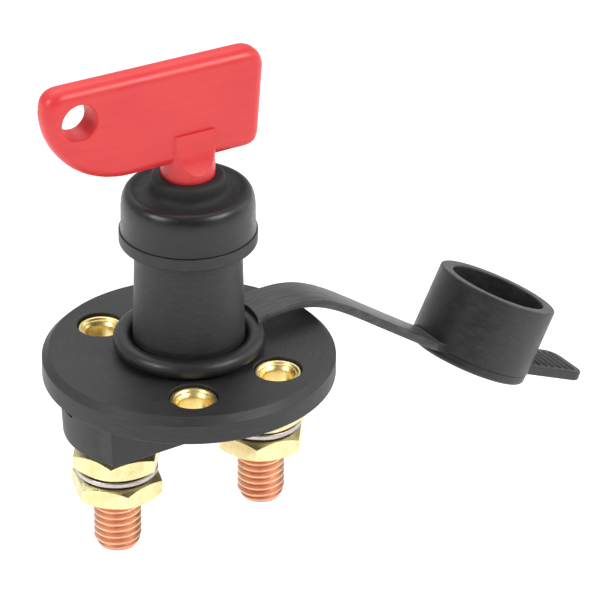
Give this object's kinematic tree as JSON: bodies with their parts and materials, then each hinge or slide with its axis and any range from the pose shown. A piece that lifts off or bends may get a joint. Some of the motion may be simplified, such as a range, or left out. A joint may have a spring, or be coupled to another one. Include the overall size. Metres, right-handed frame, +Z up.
{
  "type": "battery switch",
  "caption": "Panel-mounted battery isolator switch with a removable red key, a splash boot, a tethered rubber cap and threaded terminal studs.",
  "frame": {"origin": "barrel axis where the flange's underside meets the panel", "axes": "+Z up the barrel towards the key, +X along the line of the two terminal studs towards the strap and cap"},
  "size_m": [0.1317, 0.061, 0.1079],
  "materials": {
    "black_plastic": "fine matt moulded nylon, dark grey-black",
    "red_plastic": "semi-gloss moulded plastic, signal red",
    "black_rubber": "satin moulded rubber, black",
    "inner_plastic": "natural acetal, off-white",
    "brass": "turned brass, bright and lightly rubbed",
    "copper": "rolled copper threads, bright orange-pink",
    "spring_steel": "plated spring steel"
  },
  "bodies": {
    "housing": {"switch_body": "black_plastic", "ferrule_left_front": "brass", "ferrule_left_rear": "brass", "ferrule_right_front": "brass", "ferrule_right_rear": "brass", "contact_housing": "black_plastic", "left_terminal_stud": "copper", "left_lock_nut": "brass", "right_terminal_stud": "copper", "right_lock_nut": "brass", "return_spring": "spring_steel"},
    "rotor": {"drive_rotor": "inner_plastic"},
    "key": {"key": "red_plastic", "key_boot": "black_rubber"},
    "contact_carrier": {"contact_carrier": "inner_plastic", "contact_bridge": "copper", "retaining_clip": "spring_steel", "contact_spring": "spring_steel"},
    "strap_ring": {"strap_ring": "black_rubber"},
    "strap_inner": {"strap_inner": "black_rubber"},
    "strap_outer": {"strap_outer": "black_rubber"},
    "cap": {"sealing_cap": "black_rubber"},
    "left_washer": {"left_spring_washer": "spring_steel"},
    "left_nut": {"left_terminal_nut": "brass"},
    "right_washer": {"right_spring_washer": "spring_steel"},
    "right_nut": {"right_terminal_nut": "brass"}
  },
  "joints": [
    {"name": "key_turn", "type": "hinge", "parent": "housing", "child": "rotor", "pos_m": [0, 0, 0.02], "axis": [0, 0, 1], "range_deg": [-90, 0]},
    {"name": "key_pull", "type": "slide", "parent": "rotor", "child": "key", "axis": [0, 0, 1], "range_m": [0, 0.04]},
    {"name": "contact_press", "type": "slide", "parent": "housing", "child": "contact_carrier", "axis": [0, 0, -1], "range_m": [0, 0.0029], "deforming": ["return_spring"]},
    {"name": "strap_swivel", "type": "hinge", "parent": "housing", "child": "strap_ring", "pos_m": [0, 0, 0.008], "axis": [0, 0, 1], "continuous": true},
    {"name": "strap_lift", "type": "hinge", "parent": "strap_ring", "child": "strap_inner", "pos_m": [0.03, 0, 0.00883], "axis": [0, -1, 0], "range_deg": [-20, 35], "stiffness_Nm_per_rad": 0.02, "springref_deg": 7.45},
    {"name": "strap_curl", "type": "hinge", "parent": "strap_inner", "child": "strap_outer", "pos_m": [0.044, 0, 0.00031], "axis": [0, -1, 0], "range_deg": [-20, 35], "stiffness_Nm_per_rad": 0.02, "springref_deg": 5.16},
    {"name": "cap_fold", "type": "hinge", "parent": "strap_outer", "child": "cap", "pos_m": [0.0581, 0, -0.0095], "axis": [0, -1, 0], "range_deg": [-30, 60], "stiffness_Nm_per_rad": 0.02, "springref_deg": 2.86},
    {"name": "left_nut_travel", "type": "slide", "parent": "housing", "child": "left_washer", "axis": [0, 0, -1], "range_m": [0, 0.009]},
    {"name": "left_nut_turn", "type": "hinge", "parent": "left_washer", "child": "left_nut", "pos_m": [-0.01784, 0, -0.0207], "axis": [0, 0, -1], "range_deg": [0, 2160]},
    {"name": "right_nut_travel", "type": "slide", "parent": "housing", "child": "right_washer", "axis": [0, 0, -1], "range_m": [0, 0.009]},
    {"name": "right_nut_turn", "type": "hinge", "parent": "right_washer", "child": "right_nut", "pos_m": [0.01784, 0, -0.0207], "axis": [0, 0, -1], "range_deg": [0, 2160]}
  ],
  "couplings": [
    {"joint": "key_turn", "follows": "contact_press", "rad_per_m": -541.65},
    {"joint": "strap_curl", "follows": "strap_lift", "ratio": 1},
    {"joint": "left_nut_turn", "follows": "left_nut_travel", "rad_per_m": 4188.8},
    {"joint": "right_nut_turn", "follows": "right_nut_travel", "rad_per_m": 4188.8}
  ]
}
